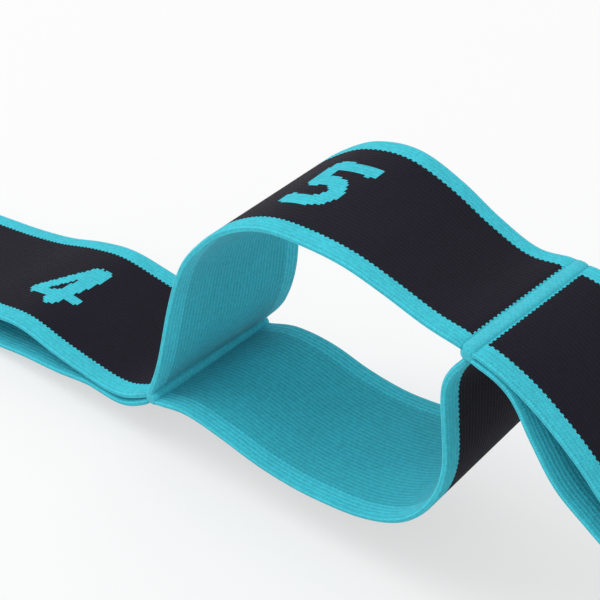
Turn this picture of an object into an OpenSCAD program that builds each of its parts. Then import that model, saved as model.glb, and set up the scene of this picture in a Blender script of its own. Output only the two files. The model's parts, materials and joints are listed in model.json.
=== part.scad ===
// Stretching strap: one long elastic band woven as two leaves, which cross and join at
// woven bars, so that a row of hand and foot loops forms between the bars.
// X runs along the strap, Y across it and Z up. The origin is on the ground, at the middle
// of the strap's length and width. The strap lies along the ground, with loop 5 pulled open.
// Each leaf is split at its crown, into a near half towards the middle bar and a far half.
// A half turns about its bar or about the crown, and the four halves of a loop form a
// parallelogram, so that the bars stay level with each other as the loop opens.

/* [Webbing] */
// Width of the strap, from selvedge to selvedge
strap_width = 40; // [25:1:60]
// Thickness of one woven leaf
leaf_thickness = 1.6; // [1.3:0.1:2]
// Length of one leaf between two bars
leaf_length = 132; // [110:1:150]
// Air between the two leaves where they leave a bar
leaf_gap = 0.3; // [0.2:0.05:0.5]

/* [Bars] */
// Diameter of a woven bar
bar_diameter = 3.8; // [3.6:0.1:4.6]
// Running clearance between a bar and the leaf ends around it
bar_clearance = 0.2; // [0.1:0.05:0.3]
// Thickness of a leaf where it runs into a bar
neck_thickness = 0.9; // [0.7:0.05:1.1]
// Length over which a leaf thins down to its neck
neck_length = 4; // [3:0.5:6]

/* [Crowns] */
// Radius of the round nose at the crown end of a near half
nose_radius = 0.75; // [0.5:0.05:0.75]
// How far each end of the round nose stops short of the selvedge
nose_inset = 0.2; // [0.1:0.1:0.5]
// Running clearance between the round nose and the socket of a crown
crown_clearance = 0.15; // [0.1:0.05:0.25]
// Slope of the bevels that let the inner faces fold together at a crown
crown_bevel = 45; // [40:1:50]

/* [Rest pose] */
// Height of the bar between loops 4 and 5 above the ground
middle_bar_height = 13.9; // [11:0.1:18]
// Height of the slightly lifted bars, between loops 2 and 3 and between loops 7 and 8
lifted_bar_height = 4.5; // [4:0.1:6]
// Steepness of the near side of the open loop 5
open_near_angle = 76.8; // [72:0.1:82]
// Steepness of the far side of the open loop 5
open_far_angle = 10.4; // [8:0.1:14]

/* [Hidden] */
$fn = 64;

turquoise = [0.25, 0.76, 0.83];
panel_black = [0.10, 0.09, 0.13];

bar_radius = bar_diameter / 2;
end_radius = bar_radius + bar_clearance;
half_thickness = leaf_thickness / 2;
leaf_offset = (leaf_thickness + leaf_gap) / 2;
neck_outer = neck_thickness - half_thickness;
socket_radius = nose_radius + crown_clearance;
cut_margin = 1;
curve_steps = 24;
curve_pull = 0.36;

// Bars are numbered 0 to 8 along the strap, and bar b lies between loops b and b + 1.
LOOP_COUNT = 8;
MIDDLE_BAR = LOOP_COUNT / 2;
// Straight reach of the near and the far half of an upper leaf, as shares of the leaf
chord_shares = [
    [0.5, 0.5], [0.5, 0.5], [0.5, 0.5], [0.365, 0.63],
    [0.339, 0.61], [0.447, 0.54], [0.5, 0.5], [0.5, 0.5]
];
lying_bar_height = bar_radius;
lying_leaf_height = half_thickness;
raised_bar_height = middle_bar_height
    + chord(5, true) * sin(open_near_angle)
    + chord(5, false) * sin(open_far_angle);
bar_heights = [
    lying_bar_height, lying_bar_height, lifted_bar_height, lying_bar_height, middle_bar_height,
    raised_bar_height, lying_bar_height, lifted_bar_height, lying_bar_height
];
// Height of the crown of each lower leaf
low_crown_heights = [
    lying_leaf_height, lying_leaf_height, lying_leaf_height, 0.2 * middle_bar_height,
    middle_bar_height + chord(5, false) * sin(open_far_angle), 0.417 * raised_bar_height,
    lying_leaf_height, lying_leaf_height
];
// Directions of the upper leaf at the near bar, at its crown and at the far bar, and the
// same for the lower leaf
leaf_turns = [
    [[7, -2, -5], [0, 0, 0]],
    [[8, -3, -8], [-5, 0, 0]],
    [[10, -1, -5], [0, 0, 5]],
    [[-20, -12, 2], [-21, -4, 0]],
    [[68, 64, -11], [8, 55, 62]],
    [[-5, -30, -33], [-12, -24, -34]],
    [[9, -2, -6], [0, 0, 5]],
    [[8, -3, -7], [-5, 0, 0]]
];

function chord(loop, near) = leaf_length * chord_shares[loop - 1][near ? 0 : 1];
function outward(loop) = loop > MIDDLE_BAR ? 1 : -1;
function near_bar(loop) = loop > MIDDLE_BAR ? loop - 1 : loop;
function far_bar(loop) = loop > MIDDLE_BAR ? loop : loop - 1;
function level_reach(length, rise) = sqrt(length * length - rise * rise);

// Vectors from the near bar to the two crowns, with X pointing away from the middle bar.
// The far bar lies at their sum.
function upper_crown(loop) =
    let (rise = bar_heights[far_bar(loop)] - low_crown_heights[loop - 1])
    [level_reach(chord(loop, true), rise), rise];
function lower_crown(loop) =
    let (rise = low_crown_heights[loop - 1] - bar_heights[near_bar(loop)])
    [level_reach(chord(loop, false), rise), rise];
function loop_reach(loop) = upper_crown(loop)[0] + lower_crown(loop)[0];

// Distance of a bar from the middle bar, and its place from the middle of the whole strap
function bar_run(bar) =
    bar == MIDDLE_BAR ? 0
    : bar > MIDDLE_BAR ? bar_run(bar - 1) + loop_reach(bar)
    : bar_run(bar + 1) - loop_reach(bar + 1);
function bar_x(bar) = bar_run(bar) - (bar_run(0) + bar_run(LOOP_COUNT)) / 2;
function bar_place(bar) = [bar_x(bar), bar_heights[bar]];

// A smooth curve from one point and direction to another
function along(angle) = [cos(angle), sin(angle)];
function left_of(angle) = [-sin(angle), cos(angle)];
function curve_point(p, t) =
    pow(1 - t, 3) * p[0] + 3 * pow(1 - t, 2) * t * p[1] + 3 * (1 - t) * t * t * p[2] + pow(t, 3) * p[3];
function curve_slope(p, t) =
    pow(1 - t, 2) * (p[1] - p[0]) + 2 * (1 - t) * t * (p[2] - p[1]) + t * t * (p[3] - p[2]);
function curve_frame(start, start_angle, end, end_angle) =
    let (pull = curve_pull * norm(end - start))
    [start, start + pull * along(start_angle), end - pull * along(end_angle), end];

// Side view of half a leaf. The curve runs from a bar to a crown. Side is 1 for an upper
// leaf and -1 for a lower one, whose outer faces point away from each other.
function half_outline(curve, side) =
    let (
        steps = [for (i = [0 : curve_steps]) (1 - cos(180 * i / curve_steps)) / 2],
        rims = [
            for (t = steps)
                let (
                    point = curve_point(curve, t),
                    slope = curve_slope(curve, t),
                    normal = side * left_of(atan2(slope[1], slope[0])),
                    from_bar = norm(point - curve[0]),
                    from_crown = norm(point - curve[3]),
                    outer = neck_outer
                        + (half_thickness - neck_outer) * min(1, max(0, from_bar - end_radius) / neck_length),
                    inner = min(half_thickness, from_crown * tan(crown_bevel))
                )
                [point + outer * normal, point - inner * normal]
        ]
    )
    concat([for (r = rims) r[0]], [for (i = [curve_steps : -1 : 0]) rims[i][1]]);

function half_curve(loop, upper, near) =
    let (
        side = upper ? 1 : -1,
        turns = leaf_turns[loop - 1][upper ? 0 : 1],
        crown = upper ? upper_crown(loop) : lower_crown(loop),
        far = upper_crown(loop) + lower_crown(loop),
        bar_angle = near ? turns[0] : turns[2] + 180,
        crown_angle = near ? turns[1] : turns[1] + 180,
        bar_end = (near ? [0, 0] : far) + side * leaf_offset * left_of(near ? turns[0] : turns[2])
    )
    curve_frame(bar_end, bar_angle, crown, crown_angle);

module across(width) {
    rotate([90, 0, 0])
        translate([0, 0, -width / 2])
            linear_extrude(height = width)
                children();
}

// A cylinder across the strap, whose round face starts and ends on the line at start_angle
module cross_cylinder(place, radius, width, start_angle = 90) {
    translate([place[0], 0, place[1]])
        rotate([90, 0, 0])
            rotate([0, 0, start_angle])
                cylinder(r = radius, h = width, center = true);
}

// One half of one leaf. A near half ends in a round nose at the crown, and a far half has
// the socket that turns around it.
module half_leaf(loop, upper, near) {
    side = upper ? 1 : -1;
    turns = leaf_turns[loop - 1][upper ? 0 : 1];
    crown = upper ? upper_crown(loop) : lower_crown(loop);
    bar_spot = near ? [0, 0] : upper_crown(loop) + lower_crown(loop);
    away_from_leaf = near ? turns[0] + 180 : turns[2];
    curve = half_curve(loop, upper, near);
    color(upper ? panel_black : turquoise)
        translate([bar_x(near_bar(loop)), 0, bar_heights[near_bar(loop)]])
            mirror([outward(loop) < 0 ? 1 : 0, 0, 0])
                union() {
                    difference() {
                        across(strap_width)
                            polygon(half_outline(curve, near ? side : -side));
                        cross_cylinder(bar_spot, end_radius, strap_width + cut_margin, away_from_leaf);
                        if (!near)
                            cross_cylinder(crown, socket_radius, strap_width + cut_margin, turns[1] + 180);
                    }
                    if (near)
                        cross_cylinder(crown, nose_radius, strap_width - 2 * nose_inset, turns[1] + 180);
                }
}

// Woven bar: all the yarns of both leaves bound together in one solid rib
module bar(number) {
    color(turquoise)
        cross_cylinder(bar_place(number), bar_radius, strap_width);
}

bar(0);  // bar_end_1
bar(1);  // bar_1_2
bar(2);  // bar_2_3
bar(3);  // bar_3_4
bar(4);  // bar_4_5
bar(5);  // bar_5_6
bar(6);  // bar_6_7
bar(7);  // bar_7_8
bar(8);  // bar_end_8

for (loop = [1 : LOOP_COUNT]) {
    half_leaf(loop, true, true);
    half_leaf(loop, true, false);
    half_leaf(loop, false, true);
    half_leaf(loop, false, false);
}
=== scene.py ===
# Stretching strap: one elastic band woven as two leaves, joined at nine woven bars into eight
# numbered loops. Loop 5 is pulled open.
import json
import math

import bpy
import numpy as np
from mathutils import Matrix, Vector


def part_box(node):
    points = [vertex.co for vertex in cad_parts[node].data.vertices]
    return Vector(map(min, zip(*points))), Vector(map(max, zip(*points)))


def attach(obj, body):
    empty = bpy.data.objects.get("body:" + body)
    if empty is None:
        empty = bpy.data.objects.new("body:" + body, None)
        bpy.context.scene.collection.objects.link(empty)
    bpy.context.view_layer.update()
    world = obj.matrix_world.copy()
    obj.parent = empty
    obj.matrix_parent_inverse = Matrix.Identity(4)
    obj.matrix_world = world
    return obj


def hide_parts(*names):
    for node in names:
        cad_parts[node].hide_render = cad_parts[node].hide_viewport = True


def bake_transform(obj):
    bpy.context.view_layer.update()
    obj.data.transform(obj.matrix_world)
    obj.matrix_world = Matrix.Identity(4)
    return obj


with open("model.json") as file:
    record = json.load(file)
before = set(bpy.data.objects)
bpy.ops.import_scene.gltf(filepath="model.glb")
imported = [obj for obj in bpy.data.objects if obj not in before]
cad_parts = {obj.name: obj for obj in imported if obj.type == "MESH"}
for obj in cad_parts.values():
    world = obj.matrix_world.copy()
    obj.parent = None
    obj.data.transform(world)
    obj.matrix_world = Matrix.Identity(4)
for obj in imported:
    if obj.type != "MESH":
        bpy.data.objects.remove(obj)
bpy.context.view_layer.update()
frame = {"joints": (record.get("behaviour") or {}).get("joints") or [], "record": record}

# ---------------------------------------------------------------------------------------
# Camera: a long lens that looks down on loop 5 from the front right corner of the strap.
# It aims past the bar between loops 4 and 5, at about half the height of the open loop.
CAMERA_AZIMUTH = math.radians(41)
CAMERA_ELEVATION = math.radians(36.5)
CAMERA_DISTANCE = 0.5778
CAMERA_LENS = 156
SENSOR_WIDTH = 36
AIM_PAST_BAR = 0.0284
AIM_HEIGHT = 0.0449

middle_bar_low, middle_bar_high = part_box("bar_4_5")
middle_bar_x = (middle_bar_low.x + middle_bar_high.x) / 2
aim = Vector((middle_bar_x + AIM_PAST_BAR, 0, AIM_HEIGHT))
from_aim = Vector((
    math.cos(CAMERA_ELEVATION) * math.sin(CAMERA_AZIMUTH),
    -math.cos(CAMERA_ELEVATION) * math.cos(CAMERA_AZIMUTH),
    math.sin(CAMERA_ELEVATION),
))
camera = bpy.data.objects.new("camera", bpy.data.cameras.new("camera"))
camera.data.lens = CAMERA_LENS
camera.data.sensor_width = SENSOR_WIDTH
camera.location = aim + CAMERA_DISTANCE * from_aim
camera.rotation_euler = from_aim.to_track_quat("Z", "Y").to_euler()
bpy.context.scene.collection.objects.link(camera)
bpy.context.scene.camera = camera

# ---------------------------------------------------------------------------------------
# Leaf shapes. A leaf is a flat woven band of yarn over rubber threads, with round selvedges.
# It leaves its inner bar, the one nearer the middle of the strap, bends over its crown and
# runs into its outer bar. In loops 4 to 6 the selvedges stand off the middle line.
MM = 0.001
LEAF_WIDTH = 40
LEAF_WOVEN_LENGTH = 132
HALF_THICKNESS = 0.8
# Distance of a leaf's middle from the middle of a bar
LEAF_OFFSET = 0.95
# How far the end of a leaf stops short of a bar's middle, and how it thins down to that end
LEAF_SINK = 1.4
NECK_LENGTH = 2.5
NECK_THINNING = 0.5
# Pull of the curve's ends, as in the solids, and the number of points along half a leaf
CURVE_PULL = 0.36
CURVE_POINTS = 160
# Rings of points along a leaf, points across each face, and points round each selvedge
STATIONS = 200
ACROSS = 25
SELVEDGE_POINTS = 5
MIDDLE_BAR = 4
OUTER_FACE, INNER_FACE = 0, 1

# Directions of a leaf at its inner bar, at its crown and at its outer bar, in degrees
LEAF_TURNS = {
    (1, "upper"): (7, -2, -5), (1, "lower"): (0, 0, 0),
    (2, "upper"): (8, -3, -8), (2, "lower"): (-5, 0, 0),
    (3, "upper"): (10, -1, -5), (3, "lower"): (0, 0, 5),
    (4, "upper"): (-20, -12, 2), (4, "lower"): (-21, -4, 0),
    (5, "upper"): (68, 64, -11), (5, "lower"): (8, 55, 62),
    (6, "upper"): (-5, -30, -33), (6, "lower"): (-12, -24, -34),
    (7, "upper"): (9, -2, -6), (7, "lower"): (0, 0, 5),
    (8, "upper"): (8, -3, -7), (8, "lower"): (-5, 0, 0),
}
# How far the near and the far selvedge stand off the middle line, in millimetres, at even
# steps from the inner bar to the outer one. Leaves that aren't named here lie even.
STAND_OFF = {
    (4, "upper"): ((0, -3, -3, -2.5, -0.5, 0, 0, 0, 0, 0, 0, 0, 0),
                   (0, 0, -0.5, -0.5, 0, -0.5, -2, -2.5, -2.5, -2.5, -1.5, -0.5, 0)),
    (4, "lower"): ((0, -2, 0.5, 0.5, 0.5, -0.5, 0, 0, 0, 0, 0, 0, 0), (0, 0)),
    (5, "upper"): ((0, -0.5, -1, -1.5, -1.5, -1.5, 0, 1.5, 1.5, 1.5, 0.5, -0.5, 0),
                   (0, -4, -5.5, -4.5, -3, -1.5, 0.5, 3.5, 4.5, 1.5, -2.5, -4, 0)),
    (5, "lower"): ((0, 1.5, 0.5, -1, -1.5, -1.5, -2, -2.5, -2, -1, 1, 2.5, 0),
                   (0, 3, 3.5, 2, 1.5, 2, 2, 1.5, 1, 0.5, 0, 0, 0)),
    (6, "upper"): ((0, -0.5, -1, -1.5, -2.5, -2, -1, 0, 0, 0, 0, 0, 0),
                   (0, 1, 0.5, 0, 0, 0, 0, 0, 0, 0, 0, 0, 0)),
    (6, "lower"): ((0, 0.5, -3.5, -5.5, -3.5, -1, 0, 0, 0, 0, 0, 0, 0), (0, 0)),
}
joints = {joint["name"]: joint for joint in frame["joints"]}
bar_names = ["bar_end_1"] + [f"bar_{b}_{b + 1}" for b in range(1, 8)] + ["bar_end_8"]


def bar_place(number):
    """X and Z of a bar's middle. Bars are numbered 0 to 8 along the strap."""
    low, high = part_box(bar_names[number])
    return np.array([(low.x + high.x) / 2, (low.z + high.z) / 2]) / MM


def bars_of(loop):
    """The numbers of a loop's inner and outer bar."""
    return (loop - 1, loop) if loop > MIDDLE_BAR else (loop, loop - 1)


def outward_of(loop):
    """Which way the loops run from the middle bar: 1 towards +X, -1 towards -X."""
    return 1 if loop > MIDDLE_BAR else -1


def crown_place(loop, side):
    pin = joints[f"{side}_crown_{loop}"]["pos_m"]
    return np.array([pin[0], pin[2]]) / MM


def toward(angle):
    return np.array([math.cos(math.radians(angle)), math.sin(math.radians(angle))])


def bend(start, start_angle, end, end_angle):
    """Points on a smooth curve from one place and direction to another."""
    pull = CURVE_PULL * np.linalg.norm(end - start)
    leave = start + pull * toward(start_angle)
    arrive = end - pull * toward(end_angle)
    t = np.linspace(0, 1, CURVE_POINTS)[:, None]
    return ((1 - t) ** 3 * start + 3 * (1 - t) ** 2 * t * leave
            + 3 * (1 - t) * t * t * arrive + t ** 3 * end)


def smooth_series(values, share):
    """A smooth line through evenly spaced values, read at shares of its length."""
    spot = np.clip(share, 0, 1) * (len(values) - 1)
    left = np.clip(np.floor(spot).astype(int), 0, len(values) - 2)
    t = spot - left
    padded = np.pad(np.array(values, float), 1, mode="edge")
    before, here, ahead, beyond = (padded[left + k] for k in range(4))
    return 0.5 * (2 * here + (ahead - before) * t
                  + (2 * before - 5 * here + 4 * ahead - beyond) * t ** 2
                  + (3 * here - before - 3 * ahead + beyond) * t ** 3)


def leaf_line(loop, side):
    """The middle line of a leaf and its normals, with X outwards from the inner bar."""
    inner_bar, outer_bar = (bar_place(bar) for bar in bars_of(loop))
    out = np.array([outward_of(loop), 1])
    crown = (crown_place(loop, side) - inner_bar) * out
    outer_end = (outer_bar - inner_bar) * out
    start_angle, crown_angle, end_angle = LEAF_TURNS[loop, side]
    offset = LEAF_OFFSET if side == "upper" else -LEAF_OFFSET
    line = np.vstack([
        bend(offset * toward(start_angle + 90), start_angle, crown, crown_angle)[:-1],
        bend(crown, crown_angle, outer_end + offset * toward(end_angle + 90), end_angle),
    ])
    steps = np.linalg.norm(np.diff(line, axis=0), axis=1)
    run = np.concatenate([[0], np.cumsum(steps)])
    length = run[-1]
    at = np.linspace(LEAF_SINK, length - LEAF_SINK, STATIONS)
    line = np.stack([np.interp(at, run, line[:, k]) for k in range(2)], axis=1)
    along = np.gradient(line, axis=0)
    along /= np.linalg.norm(along, axis=1)[:, None]
    normals = np.stack([-along[:, 1], along[:, 0]], axis=1)
    return line, normals, at / length, length


def leaf_rings(loop, side):
    """The rings of points round a leaf, one for each station along it, and their shares."""
    line, normals, share, length = leaf_line(loop, side)
    near_off, far_off = STAND_OFF.get((loop, side), ((0, 0), (0, 0)))
    near_off = smooth_series(near_off, share)[:, None, None]
    far_off = smooth_series(far_off, share)[:, None, None]
    flat_half = LEAF_WIDTH / 2 - HALF_THICKNESS
    y = np.linspace(-flat_half, flat_half, ACROSS)
    far_share = (y / LEAF_WIDTH + 0.5)[None, :, None]
    off = near_off * (1 - far_share) + far_off * far_share
    moved = line[:, None, :] + normals[:, None, :] * off
    middle = np.stack([moved[..., 0], np.broadcast_to(y, moved.shape[:2]), moved[..., 1]], axis=2)
    along = np.gradient(middle, axis=0)
    across = np.gradient(middle, axis=1)
    face = np.cross(along, across) * (1 if side == "upper" else -1)
    face /= np.linalg.norm(face, axis=2)[..., None]

    from_end = np.minimum(share, 1 - share) * length - LEAF_SINK
    neck = NECK_THINNING * np.clip(1 - from_end / NECK_LENGTH, 0, 1) ** 2
    outer_thickness = (HALF_THICKNESS - neck)[:, None]

    def selvedge(column, sign):
        """The round edge between the two faces, from the outer to the inner one."""
        out = across[:, column] * sign
        out /= np.linalg.norm(out, axis=1)[:, None]
        arc = []
        for turn in np.linspace(0, math.pi, SELVEDGE_POINTS + 2)[1:-1]:
            thickness = outer_thickness if turn < math.pi / 2 else HALF_THICKNESS
            rise = face[:, column] * math.cos(turn) * thickness
            arc.append(middle[:, column] + rise + out * math.sin(turn) * HALF_THICKNESS)
        return np.stack(arc, axis=1)

    rings = np.concatenate([
        middle + face * outer_thickness[..., None],
        selvedge(-1, 1),
        (middle - face * HALF_THICKNESS)[:, ::-1],
        selvedge(0, -1)[:, ::-1],
    ], axis=1)
    place = bar_place(bars_of(loop)[0])
    return rings * np.array([outward_of(loop), 1, 1]) + np.array([place[0], 0, place[1]]), share


def woven_piece(name, points, faces, maps):
    """A smooth mesh of points in millimetres, with a weave map in millimetres of cloth."""
    mesh = bpy.data.meshes.new(name)
    mesh.from_pydata((np.array(points) * MM).tolist(), [], faces)
    mesh.polygons.foreach_set("use_smooth", [True] * len(faces))
    mesh.uv_layers.new(name="weave").data.foreach_set("uv", np.array(maps, float).ravel())
    mesh.update()
    piece = bpy.data.objects.new(name, mesh)
    bpy.context.scene.collection.objects.link(piece)
    return piece


def leaf_mesh(name, loop, side):
    """A closed band. Its weave map runs from the leaf's middle, to the right and away."""
    rings, share = leaf_rings(loop, side)
    count = rings.shape[1]
    flat_half = LEAF_WIDTH / 2 - HALF_THICKNESS
    y = np.linspace(-flat_half, flat_half, ACROSS)
    arc = np.linspace(0, math.pi, SELVEDGE_POINTS + 2)[1:-1]
    edge = flat_half + HALF_THICKNESS * arc
    across_map = np.concatenate([y, edge, y[::-1], -edge[::-1]])
    along_map = outward_of(loop) * (share - 0.5) * LEAF_WOVEN_LENGTH
    turned = (outward_of(loop) > 0) == (side == "upper")
    faces, marks, maps = [], [], []

    def add_face(corners, mark):
        """One face from its (station, point) corners, turned so that it looks outwards."""
        if turned:
            corners = corners[::-1]
        faces.append(tuple(station * count + k for station, k in corners))
        marks.append(mark)
        maps.extend((along_map[station], across_map[k]) for station, k in corners)

    for i in range(STATIONS - 1):
        for k in range(count):
            after = (k + 1) % count
            mark = OUTER_FACE if k < ACROSS - 1 else INNER_FACE
            add_face([(i, k), (i, after), (i + 1, after), (i + 1, k)], mark)

    inner_near = 2 * ACROSS + SELVEDGE_POINTS - 1
    caps = [(k, k + 1, inner_near - k - 1, inner_near - k) for k in range(ACROSS - 1)]
    caps.append(tuple(range(ACROSS - 1, ACROSS + SELVEDGE_POINTS + 1)))
    caps.append((*range(inner_near, count), 0))
    for cap in caps:
        add_face([(0, k) for k in cap[::-1]], INNER_FACE)
    for cap in caps:
        add_face([(STATIONS - 1, k) for k in cap], INNER_FACE)
    piece = woven_piece(name, rings.reshape(-1, 3), faces, maps)
    piece.data.polygons.foreach_set("material_index", marks)
    return piece


# ---------------------------------------------------------------------------------------
# Weave: the yarns cross in small cells, each with a shade of its own. Ribs of rubber thread
# run along the band. A colour changes at a whole yarn, which gives every outline its steps.
YARN_CELL = 0.65
RIB_PITCH = 1.0
# How much of a face's relief the ribs make, beside the finer weft yarns
FACE_RIB_SHARE = 0.62


def add_node(tree, kind, inputs=(), **settings):
    """A node with its settings, and with its inputs linked or set."""
    node = tree.nodes.new(kind)
    for key, value in settings.items():
        setattr(node, key, value)
    for socket, value in dict(inputs).items():
        if isinstance(value, bpy.types.NodeSocket):
            tree.links.new(value, node.inputs[socket])
        else:
            node.inputs[socket].default_value = value
    return node


def maths(tree, operation, *values):
    return add_node(tree, "ShaderNodeMath", enumerate(values), operation=operation).outputs[0]


def vector_maths(tree, operation, *values, out="Vector"):
    node = add_node(tree, "ShaderNodeVectorMath", enumerate(values), operation=operation)
    return node.outputs[out]


def parts_of(tree, vector):
    return add_node(tree, "ShaderNodeSeparateXYZ", {0: vector}).outputs


def new_group(name, inputs, outputs):
    """A shader node group with named sockets, and the sockets to wire inside it."""
    group = bpy.data.node_groups.new(name, "ShaderNodeTree")
    for label, kind, value in inputs:
        socket = group.interface.new_socket(label, in_out="INPUT", socket_type=kind)
        if value is not None:
            socket.default_value = value
    for label, kind in outputs:
        group.interface.new_socket(label, in_out="OUTPUT", socket_type=kind)
    start = group.nodes.new("NodeGroupInput")
    end = group.nodes.new("NodeGroupOutput")
    return group, start.outputs, end.inputs


def use_group(tree, group, inputs):
    node = tree.nodes.new("ShaderNodeGroup")
    node.node_tree = group
    for socket, value in inputs.items():
        if isinstance(value, bpy.types.NodeSocket):
            tree.links.new(value, node.inputs[socket])
        else:
            node.inputs[socket].default_value = value
    return node.outputs


# Yarn cells: the middle of the cell that a place is in, its shade, and every other cell's tooth
cells, cells_in, cells_out = new_group(
    "yarn cells",
    [("Place", "NodeSocketVector", None), ("Cell", "NodeSocketFloat", YARN_CELL)],
    [("Middle", "NodeSocketVector"), ("Shade", "NodeSocketFloat"),
     ("Along tooth", "NodeSocketFloat"), ("Across tooth", "NodeSocketFloat")],
)
cell_size = add_node(cells, "ShaderNodeCombineXYZ", {k: cells_in["Cell"] for k in range(3)}).outputs[0]
cell_number = vector_maths(cells, "FLOOR", vector_maths(cells, "DIVIDE", cells_in["Place"], cell_size))
cell_middle = vector_maths(cells, "MULTIPLY", vector_maths(
    cells, "ADD", cell_number, (0.5, 0.5, 0)), cell_size)
cell_shade = add_node(cells, "ShaderNodeTexWhiteNoise", {"Vector": cell_number}, noise_dimensions="2D")
cells.links.new(cell_middle, cells_out["Middle"])
cells.links.new(cell_shade.outputs["Value"], cells_out["Shade"])
for axis, tooth in enumerate(("Along tooth", "Across tooth")):
    every_other = maths(cells, "FLOORED_MODULO", parts_of(cells, cell_number)[axis], 2.0)
    cells.links.new(every_other, cells_out[tooth])

# Pen line: 1 within the pen's radius of the line between two points, and otherwise 0
pen_line, pen_in, pen_out = new_group(
    "pen line",
    [("Place", "NodeSocketVector", None), ("From", "NodeSocketVector", None),
     ("To", "NodeSocketVector", None), ("Pen", "NodeSocketFloat", 2.0)],
    [("Inside", "NodeSocketFloat")],
)
stroke = vector_maths(pen_line, "SUBTRACT", pen_in["To"], pen_in["From"])
reached = vector_maths(pen_line, "SUBTRACT", pen_in["Place"], pen_in["From"])
stroke_share = maths(
    pen_line, "DIVIDE",
    vector_maths(pen_line, "DOT_PRODUCT", reached, stroke, out="Value"),
    vector_maths(pen_line, "DOT_PRODUCT", stroke, stroke, out="Value"))
on_stroke = add_node(pen_line, "ShaderNodeClamp", {0: stroke_share}).outputs[0]
nearest = add_node(
    pen_line, "ShaderNodeVectorMath", {0: stroke, "Scale": on_stroke}, operation="SCALE").outputs[0]
from_stroke = vector_maths(
    pen_line, "LENGTH", vector_maths(pen_line, "SUBTRACT", reached, nearest), out="Value")
pen_line.links.new(maths(pen_line, "LESS_THAN", from_stroke, pen_in["Pen"]), pen_out["Inside"])

# Woven relief: ribs along the band, crossed by weft yarns that shift by half a step at each rib
relief, relief_in, relief_out = new_group(
    "woven relief",
    [("Place", "NodeSocketVector", None), ("Rib", "NodeSocketFloat", RIB_PITCH),
     ("Weft", "NodeSocketFloat", YARN_CELL), ("Rib share", "NodeSocketFloat", FACE_RIB_SHARE)],
    [("Height", "NodeSocketFloat")],
)
unevenness = add_node(
    relief, "ShaderNodeTexNoise", {"Vector": relief_in["Place"], "Scale": 0.35, "Detail": 2.0})
sway = vector_maths(relief, "MULTIPLY", unevenness.outputs["Color"], (0.5, 0.3, 0))
along, across, _ = parts_of(relief, vector_maths(relief, "ADD", relief_in["Place"], sway))
rib_wave = maths(relief, "SINE", maths(
    relief, "DIVIDE", maths(relief, "MULTIPLY", across, math.tau), relief_in["Rib"]))
rib_number = maths(relief, "FLOOR", maths(relief, "DIVIDE", across, relief_in["Rib"]))
half_step = maths(relief, "MULTIPLY", maths(relief, "FLOORED_MODULO", rib_number, 2.0), math.pi)
weft_turn = maths(relief, "DIVIDE", maths(relief, "MULTIPLY", along, math.tau), relief_in["Weft"])
weft_wave = maths(relief, "SINE", maths(relief, "ADD", weft_turn, half_step))
weft_share = maths(relief, "SUBTRACT", 1.0, relief_in["Rib share"])
relief.links.new(
    maths(relief, "ADD", maths(relief, "MULTIPLY", rib_wave, relief_in["Rib share"]),
          maths(relief, "MULTIPLY", weft_wave, weft_share)),
    relief_out["Height"])


def new_cloth(name):
    """A material, its tree and shader, and the place on the cloth in millimetres."""
    material = bpy.data.materials.new(name)
    material.use_nodes = True
    tree = material.node_tree
    place = add_node(tree, "ShaderNodeUVMap", uv_map="weave").outputs[0]
    return material, tree, tree.nodes["Principled BSDF"], place


def finish_cloth(tree, shader, colour, brightness, height, bump, fuzz, glint):
    """Matt yarn: a colour with its brightness, the relief of the weave, and a little fuzz."""
    shaded = add_node(tree, "ShaderNodeHueSaturation", {"Value": brightness, "Color": colour})
    tree.links.new(shaded.outputs[0], shader.inputs["Base Color"])
    raised = add_node(tree, "ShaderNodeBump", {"Height": height, "Strength": bump, "Distance": 0.0001})
    tree.links.new(raised.outputs[0], shader.inputs["Normal"])
    shader.inputs["Roughness"].default_value = 0.85
    shader.inputs["Sheen Weight"].default_value = fuzz
    shader.inputs["Sheen Roughness"].default_value = 0.5
    shader.inputs["Specular IOR Level"].default_value = glint


# ---------------------------------------------------------------------------------------
# Upper and lower leaves of the eight loops, in one jacquard weave. Outer faces are black
# panels between turquoise selvedges, and inner faces are ribbed turquoise. The upper leaf
# carries its loop's number, woven in turquoise.
TURQUOISE = (0.052, 0.545, 0.660, 1)
RIB_TURQUOISE = (0.036, 0.430, 0.530, 1)
PANEL_BLACK = (0.0100, 0.0088, 0.0165, 1)
# Width of a turquoise border, of the stripe where a leaf meets a bar, and of the outline's teeth
BORDER = 4.2
END_STRIPE = 0.6
TOOTH = 0.3
# How much the cell's shade, the relief and the wear change the brightness, and its least value. The
# relief paints shade into the hollows of the weave and light onto its crests
CELL_SHADE, WEAR, LEAST_BRIGHTNESS = 0.16, 0.30, 0.77
# Strength of the painted shade in the rib hollows and painted light on the rib crests, for black panels
# and for ribbed inner faces
PANEL_RIB_PAINTED_SHADE, INNER_RIB_PAINTED_SHADE = 0.10, 0.22
PANEL_FUZZ, INNER_FUZZ = 0.02, 0.10
# How far the middle of a numeral lies to the right of the middle of its leaf
NUMERAL_SHIFT = {4: 20, 5: 13}
USUAL_SHIFT = 16
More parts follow.
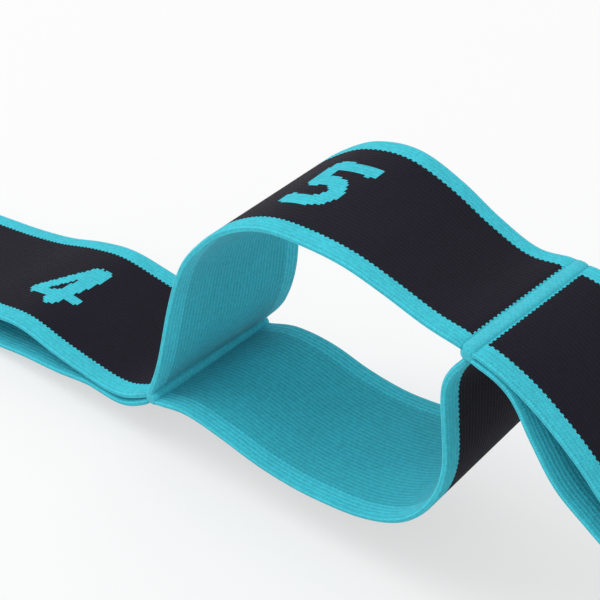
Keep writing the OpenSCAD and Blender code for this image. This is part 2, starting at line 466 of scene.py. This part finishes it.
# Pen strokes of the numerals: the pen's radius and its path, in millimetres from the middle
NUMERALS = {
    1: [(2.0, [(-3.6, 4.6), (0.6, 7.4), (0.4, -7.4)]), (1.8, [(-3.8, -7.6), (4.4, -7.6)])],
    2: [(2.0, [(-4.8, 4.4), (-3.2, 6.9), (0.2, 7.6), (3.6, 6.4), (4.6, 3.6), (2.8, 0.2), (-4.6, -7.2)]),
        (1.9, [(-4.8, -7.6), (5.2, -7.6)])],
    3: [(2.0, [(-4.8, 6.2), (-1.2, 7.6), (2.8, 6.8), (4.0, 4.2), (2.4, 1.6), (-1.0, 0.6)]),
        (2.0, [(-1.0, 0.6), (3.2, -0.6), (4.8, -3.6), (3.2, -6.6), (-0.8, -7.6), (-5.0, -6.4)])],
    4: [(2.1, [(4.2, 6.9), (1.0, -7.4)]), (1.6, [(2.2, 7.2), (-6.2, -5.6)]),
        (1.3, [(-6.0, -6.2), (6.2, -4.4)])],
    5: [(1.9, [(6.2, 7.4), (-3.6, 7.6), (-4.2, 1.2)]),
        (2.0, [(-3.6, 0.6), (-0.8, 1.5), (2.6, 0.4), (4.1, -2.6), (2.8, -5.8), (-0.8, -7.4),
               (-5.4, -6.8)])],
    6: [(2.0, [(4.6, 6.6), (0.6, 7.2), (-2.8, 4.4), (-4.4, -0.4), (-4.0, -4.6), (-1.2, -7.4),
               (2.2, -7.2), (4.4, -4.4), (3.6, -1.0), (0.4, 0.4), (-3.6, -1.2)])],
    7: [(1.9, [(-5.0, 7.4), (5.2, 7.4), (1.8, 0.8), (-1.0, -7.6)])],
    8: [(1.9, [(0, 0.8), (-3.2, 2.2), (-3.4, 5.4), (0, 7.6), (3.4, 5.4), (3.2, 2.2), (0, 0.8),
               (4.2, -1.8), (4.0, -5.6), (0, -7.6), (-4.0, -5.6), (-4.2, -1.8), (0, 0.8)])],
}


def inked_cells(tree, middle, numeral):
    """1 in the cells that the strokes of a numeral cover."""
    shift = NUMERAL_SHIFT.get(numeral, USUAL_SHIFT)
    spot = vector_maths(tree, "SUBTRACT", middle, (shift, 0, 0))
    inked = None
    for pen, path in NUMERALS[numeral]:
        for start, end in zip(path, path[1:]):
            line = use_group(tree, pen_line, {
                "Place": spot, "From": (*start, 0), "To": (*end, 0), "Pen": pen})["Inside"]
            inked = line if inked is None else maths(tree, "MAXIMUM", inked, line)
    return inked


def leaf_cloth(name, ground, fuzz, rib_painted_shade, numeral=None):
    """One face of a leaf: its ground inside turquoise borders, end stripes and numeral."""
    material, tree, shader, place = new_cloth(name)
    cell = use_group(tree, cells, {"Place": place})
    along_leaf, across_leaf, _ = parts_of(tree, place)

    def past(half_length, distance, tooth, least):
        """1 where the face is further than least from its edge, past the tooth of the cell."""
        inwards = maths(tree, "SUBTRACT", half_length, maths(tree, "ABSOLUTE", distance))
        toothed = maths(tree, "SUBTRACT", inwards, maths(tree, "MULTIPLY", tooth, TOOTH))
        return maths(tree, "GREATER_THAN", toothed, least)

    inside = maths(
        tree, "MULTIPLY",
        past(LEAF_WIDTH / 2, across_leaf, cell["Along tooth"], BORDER),
        past(LEAF_WOVEN_LENGTH / 2, along_leaf, cell["Across tooth"], LEAF_SINK + END_STRIPE))
    if numeral:
        clear = maths(tree, "SUBTRACT", 1.0, inked_cells(tree, cell["Middle"], numeral))
        inside = maths(tree, "MULTIPLY", inside, clear)
    colour = add_node(
        tree, "ShaderNodeMix", {"Factor": inside, 6: TURQUOISE, 7: ground}, data_type="RGBA").outputs[2]
    height = use_group(tree, relief, {"Place": place})["Height"]
    wear = add_node(tree, "ShaderNodeTexNoise", {"Vector": place, "Scale": 0.05, "Detail": 3.0})
    # Brightness: random cell tone, painted shade in the hollows of the relief with painted light on its
    # crests, and wear
    tone_and_painted_shade = maths(tree, "ADD", maths(tree, "MULTIPLY", cell["Shade"], CELL_SHADE), maths(
        tree, "ADD", maths(tree, "MULTIPLY", height, rib_painted_shade),
        maths(tree, "MULTIPLY", wear.outputs[0], WEAR)))
    brightness = maths(tree, "ADD", tone_and_painted_shade, LEAST_BRIGHTNESS)
    finish_cloth(tree, shader, colour, brightness, height, bump=0.55, fuzz=fuzz, glint=0.15)
    return material


def bend_at_crown(piece):
    """Bakes the leaf's placement into its mesh."""
    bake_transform(piece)


inner_cloth = leaf_cloth("ribbed turquoise", RIB_TURQUOISE, INNER_FUZZ, INNER_RIB_PAINTED_SHADE)
plain_cloth = leaf_cloth("black panel", PANEL_BLACK, PANEL_FUZZ, PANEL_RIB_PAINTED_SHADE)
for loop in range(1, 9):
    numbered_cloth = leaf_cloth(
        f"black panel {loop}", PANEL_BLACK, PANEL_FUZZ, PANEL_RIB_PAINTED_SHADE, numeral=loop)
    for side in ("upper", "lower"):
        piece = leaf_mesh(f"loop_{loop}_{side}_leaf", loop, side)
        piece.data.materials.append(numbered_cloth if side == "upper" else plain_cloth)
        piece.data.materials.append(inner_cloth)
        bend_at_crown(piece)
        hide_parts(f"loop_{loop}_{side}_near", f"loop_{loop}_{side}_far")

# ---------------------------------------------------------------------------------------
# Woven bars: the yarns of both leaves are bound together in one narrow rib across the band,
# level with the leaves on both sides, and with ends as round as the selvedges.
BAR_HALF_WIDTH = 1.9
BAR_HALF_HEIGHT = 1.85
# How square the bar's section is: 2 is an ellipse, and more is squarer
BAR_SQUARENESS = 3.0
BAR_POINTS = 40
BAR_SLICES = 24
BAR_GIRTH = 12
# The rounding of each end: the distance from the end, and the section's size there
BAR_END = [(0, 0.35), (0.12, 0.62), (0.4, 0.85), (0.9, 1)]
BAR_END_LENGTH = 2
BAR_WEFT = 1.3
# Bar brightness: random cell tone, painted shade in the hollows of the stitches with painted light on
# their crests, and the base level
BAR_CELL_SHADE, BAR_RIB_PAINTED_SHADE, BAR_BRIGHTNESS = 0.14, 0.08, 0.92


def bar_mesh(name, number):
    """A closed rib across the band, whose weave map runs round it and along it."""
    place = bar_place(number)
    turns = np.linspace(0, math.tau, BAR_POINTS, endpoint=False)
    cosine, sine = np.cos(turns), np.sin(turns)
    power = BAR_SQUARENESS
    reach = (np.abs(cosine) ** power + np.abs(sine) ** power) ** (-1 / power)
    half = LEAF_WIDTH / 2
    slices = [(inwards - half, size) for inwards, size in BAR_END]
    straight = half - BAR_END_LENGTH
    slices += [(y, 1) for y in np.linspace(-straight, straight, BAR_SLICES)]
    slices += [(half - inwards, size) for inwards, size in reversed(BAR_END)]
    points, faces, maps = [], [], []
    for y, size in slices:
        for c, s, r in zip(cosine, sine, reach):
            points.append((place[0] + BAR_HALF_WIDTH * c * r * size, y,
                           place[1] + BAR_HALF_HEIGHT * s * r * size))
    for i in range(len(slices) - 1):
        for k in range(BAR_POINTS):
            after = (k + 1) % BAR_POINTS
            first, second = i * BAR_POINTS, (i + 1) * BAR_POINTS
            faces.append((first + k, first + after, second + after, second + k))
            low, high = k / BAR_POINTS * BAR_GIRTH, (k + 1) / BAR_POINTS * BAR_GIRTH
            maps += [(low, slices[i][0]), (high, slices[i][0]),
                     (high, slices[i + 1][0]), (low, slices[i + 1][0])]
    last = (len(slices) - 1) * BAR_POINTS
    faces.append(tuple(range(BAR_POINTS))[::-1])
    faces.append(tuple(range(last, last + BAR_POINTS)))
    maps += [(0, -half)] * BAR_POINTS + [(0, half)] * BAR_POINTS
    return woven_piece(name, points, faces, maps)


def bar_cloth():
    """Turquoise yarns along the bar, bound by short stitches."""
    material, tree, shader, place = new_cloth("woven bar")
    cell = use_group(tree, cells, {"Place": place})
    height = use_group(tree, relief, {
        "Place": place, "Rib": YARN_CELL, "Weft": BAR_WEFT, "Rib share": 0.6})["Height"]
    # Painted shade in the hollows of the bar's relief and painted light on its crests, over a random
    # cell tone
    brightness = maths(tree, "ADD", maths(tree, "MULTIPLY", cell["Shade"], BAR_CELL_SHADE), maths(
        tree, "ADD", maths(tree, "MULTIPLY", height, BAR_RIB_PAINTED_SHADE), BAR_BRIGHTNESS))
    finish_cloth(tree, shader, TURQUOISE, brightness, height, bump=0.5, fuzz=0.12, glint=0.25)
    return material


turquoise_bar = bar_cloth()
bodies = frame["record"]["behaviour"]["bodies"]
for number, name in enumerate(bar_names):
    piece = bar_mesh(f"woven_{name}", number)
    piece.data.materials.append(turquoise_bar)
    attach(piece, next(body for body, nodes in bodies.items() if name in nodes))
    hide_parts(name)

# ---------------------------------------------------------------------------------------
# Floor: a plain pale sheet under the strap. It shows nearly white to the camera and keeps a
# part of the strap's soft shadow.
FLOOR_HALF = 6
FLOOR_WHITENING = 0.6
floor_mesh = bpy.data.meshes.new("floor")
floor_corners = [(-FLOOR_HALF, -FLOOR_HALF, 0), (FLOOR_HALF, -FLOOR_HALF, 0),
                 (FLOOR_HALF, FLOOR_HALF, 0), (-FLOOR_HALF, FLOOR_HALF, 0)]
floor_mesh.from_pydata(floor_corners, [], [(0, 1, 2, 3)])
floor = bpy.data.objects.new("floor", floor_mesh)
bpy.context.scene.collection.objects.link(floor)
floor_paint = bpy.data.materials.new("pale floor")
floor_paint.use_nodes = True
floor_tree = floor_paint.node_tree
floor_shader = floor_tree.nodes["Principled BSDF"]
floor_shader.inputs["Base Color"].default_value = (0.9, 0.9, 0.9, 1)
floor_shader.inputs["Roughness"].default_value = 0.9
white = add_node(floor_tree, "ShaderNodeEmission", {"Color": (1, 1, 1, 1), "Strength": 1.0})
floor_seen = add_node(floor_tree, "ShaderNodeLightPath").outputs["Is Camera Ray"]
whitened = maths(floor_tree, "MULTIPLY", floor_seen, FLOOR_WHITENING)
floor_mix = add_node(
    floor_tree, "ShaderNodeMixShader", {0: whitened, 1: floor_shader.outputs[0], 2: white.outputs[0]})
floor_tree.links.new(floor_mix.outputs[0], floor_tree.nodes["Material Output"].inputs["Surface"])
floor_mesh.materials.append(floor_paint)

# ---------------------------------------------------------------------------------------
# Light: a bright, even room, which shows white to the camera, with one large soft lamp above
# the left side of the strap.
ROOM_LIGHT = 0.75
LAMP_SIZE = 1.2
LAMP_POWER = 14
LAMP_PLACE = Vector((middle_bar_x - 0.9, -0.5, 1.6))
room = bpy.data.worlds.new("room")
room.use_nodes = True
room_paint = room.node_tree.nodes["Background"]
room_paint.inputs["Color"].default_value = (1, 1, 1, 1)
room_seen = add_node(room.node_tree, "ShaderNodeLightPath").outputs["Is Camera Ray"]
room_level = maths(room.node_tree, "MULTIPLY_ADD", room_seen, 1 - ROOM_LIGHT, ROOM_LIGHT)
room.node_tree.links.new(room_level, room_paint.inputs["Strength"])
bpy.context.scene.world = room
lamp = bpy.data.objects.new("soft lamp", bpy.data.lights.new("soft lamp", "AREA"))
lamp.data.size = LAMP_SIZE
lamp.data.energy = LAMP_POWER
lamp.location = LAMP_PLACE
lamp.rotation_euler = (LAMP_PLACE - aim).to_track_quat("Z", "Y").to_euler()
bpy.context.scene.collection.objects.link(lamp)
bpy.context.scene.view_settings.view_transform = "Standard"

# ---------------------------------------------------------------------------------------
bpy.context.view_layer.update()
